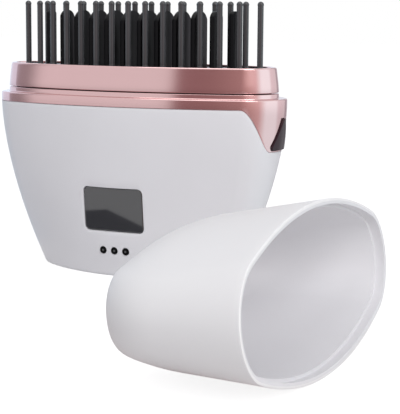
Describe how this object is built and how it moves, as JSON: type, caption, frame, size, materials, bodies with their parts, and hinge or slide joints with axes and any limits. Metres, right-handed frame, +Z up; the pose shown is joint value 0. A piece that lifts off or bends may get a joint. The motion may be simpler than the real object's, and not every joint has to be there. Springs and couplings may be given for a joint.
{
  "type": "cordless heated hair comb",
  "caption": "Cordless heated straightening comb with a screen, side power button and a loose oval cap lying in front.",
  "frame": {"origin": "middle of the flat base face the comb stands on", "axes": "+Z up through the comb, +X along the comb towards the button end, -Y out of the screen"},
  "size_m": [0.1522, 0.1688, 0.0865],
  "materials": {
    "shell_white": "fine satin",
    "cap_white": "fine satin",
    "screw_steel": "plain",
    "rose_gold": "rose-gold plated",
    "tine_grey": "satin",
    "coated_black": "black ceramic coating",
    "heat_plastic": "heat-proof, matte",
    "ceramic": "ceramic",
    "polyimide": "film",
    "plate_steel": "plain",
    "sensor_glass": "bead",
    "fuse_metal": "plain",
    "lead_red": "silicone sleeve",
    "chassis_grey": "matte",
    "cell_foil": "foil pouch",
    "foam_grey": "soft foam",
    "board_green": "solder mask",
    "chip_black": "matte",
    "window_dark": "tinted, glossy",
    "panel_dark": "dark",
    "lens_dark": "glossy",
    "led_white": "plain",
    "button_plum": "glossy",
    "plunger_black": "plain"
  },
  "bodies": {
    "body": {"front_shell": "shell_white", "rear_shell": "shell_white", "base_plate": "shell_white", "base_screws": "screw_steel", "tray_screws": "screw_steel", "pressure_screws": "screw_steel", "board_screws": "screw_steel", "shoulder_trim": "rose_gold", "collar_ring": "rose_gold", "guard_comb": "tine_grey", "heating_comb": "coated_black", "heater_tray": "heat_plastic", "ptc_heaters": "ceramic", "insulation_sheet": "polyimide", "pressure_plate": "plate_steel", "thermistor": "sensor_glass", "thermal_fuse": "fuse_metal", "heater_leads": "lead_red", "chassis": "chassis_grey", "battery_cells": "cell_foil", "battery_foam": "foam_grey", "main_board": "board_green", "display_board": "board_green", "switch_board": "board_green", "control_chips": "chip_black", "display_header": "chip_black", "display_window": "window_dark", "display_panel": "panel_dark", "indicator_lenses": "lens_dark", "indicator_leds": "led_white", "button_switch": "plate_steel", "usb_socket": "plate_steel"},
    "button": {"power_button": "button_plum", "switch_plunger": "plunger_black"},
    "cap": {"cap_shell": "cap_white"}
  },
  "joints": [
    {"name": "button_press", "type": "slide", "parent": "body", "child": "button", "axis": [-1, 0, 0], "range_m": [0, 0.0006], "stiffness_N_per_m": 800},
    {"name": "cap_lift", "type": "slide", "parent": "body", "child": "cap", "axis": [0, 0, 1], "range_m": [0, 0.12]}
  ]
}
